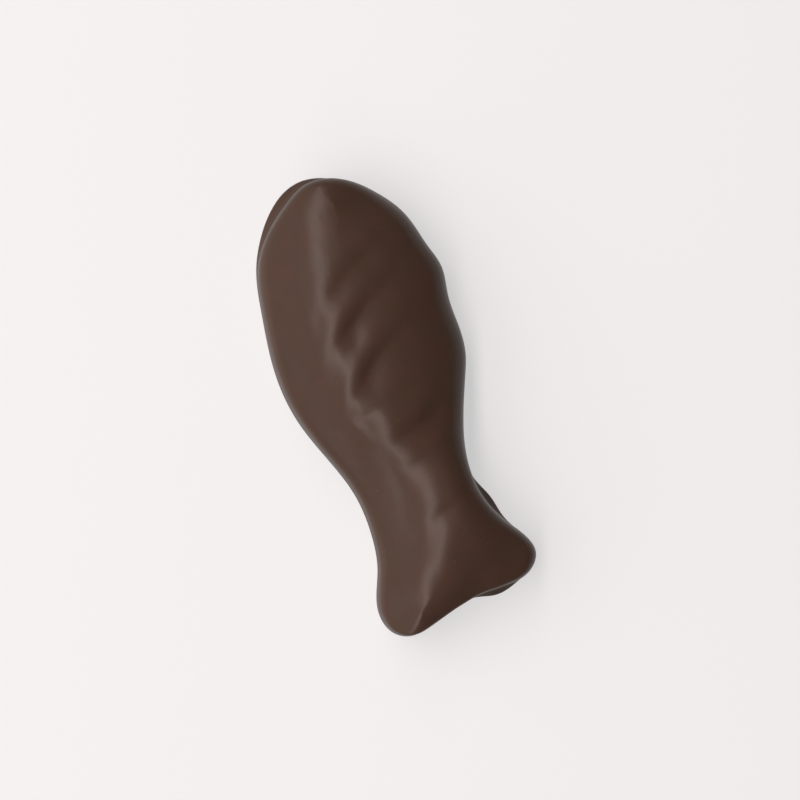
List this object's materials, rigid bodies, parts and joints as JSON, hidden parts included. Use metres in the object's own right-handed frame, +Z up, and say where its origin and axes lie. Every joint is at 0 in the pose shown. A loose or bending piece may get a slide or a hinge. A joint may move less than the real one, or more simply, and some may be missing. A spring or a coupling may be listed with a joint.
{
  "type": "chocolate fish",
  "caption": "Fish-shaped sweet coated in milk chocolate, with a plump rounded body, slanting wind folds on one flank and a shallow forked tail. It lies flat on its underside.",
  "frame": {"origin": "middle of the flat underside, under the middle of the plan's bounding box", "axes": "+X towards the head, +Y towards the smooth flank, -Y towards the folded flank, +Z up"},
  "size_m": [0.111, 0.0456, 0.0194],
  "materials": {
    "chocolate": "milk chocolate coating with a soft satin sheen, set with a fine uneven surface"
  },
  "bodies": {
    "root": {"chocolate_fish": "chocolate"}
  },
  "joints": []
}
